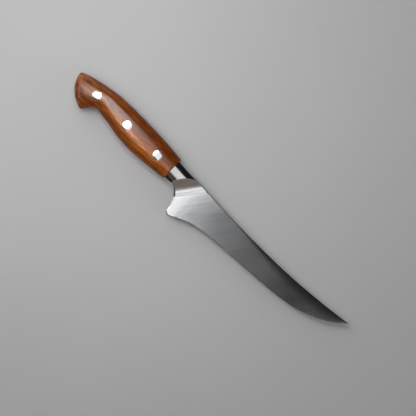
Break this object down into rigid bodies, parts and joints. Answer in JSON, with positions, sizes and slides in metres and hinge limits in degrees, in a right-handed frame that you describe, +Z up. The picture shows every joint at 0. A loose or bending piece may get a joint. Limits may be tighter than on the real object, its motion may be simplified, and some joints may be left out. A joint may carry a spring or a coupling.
{
  "type": "boning knife",
  "caption": "Forged boning knife with a curved upswept blade, round bolster and full tang held between riveted wooden scales.",
  "frame": {"origin": "middle of the knife's footprint as it lies on its left scale, on the surface it lies on", "axes": "+X from the butt to the tip, +Y from the cutting edge towards the spine, +Z up out of the right scale"},
  "size_m": [0.313, 0.0448, 0.018],
  "materials": {
    "blade_steel": "satin cross-ground faces, polished bolster",
    "handle_wood": "satin varnish over reddish brown hardwood",
    "rivet_steel": "polished"
  },
  "bodies": {
    "root": {"blade_blank": "blade_steel", "scale_right": "handle_wood", "scale_left": "handle_wood", "rivet_rear_barrel": "rivet_steel", "rivet_rear_pin": "rivet_steel", "rivet_middle_barrel": "rivet_steel", "rivet_middle_pin": "rivet_steel", "rivet_front_barrel": "rivet_steel", "rivet_front_pin": "rivet_steel"}
  },
  "joints": []
}
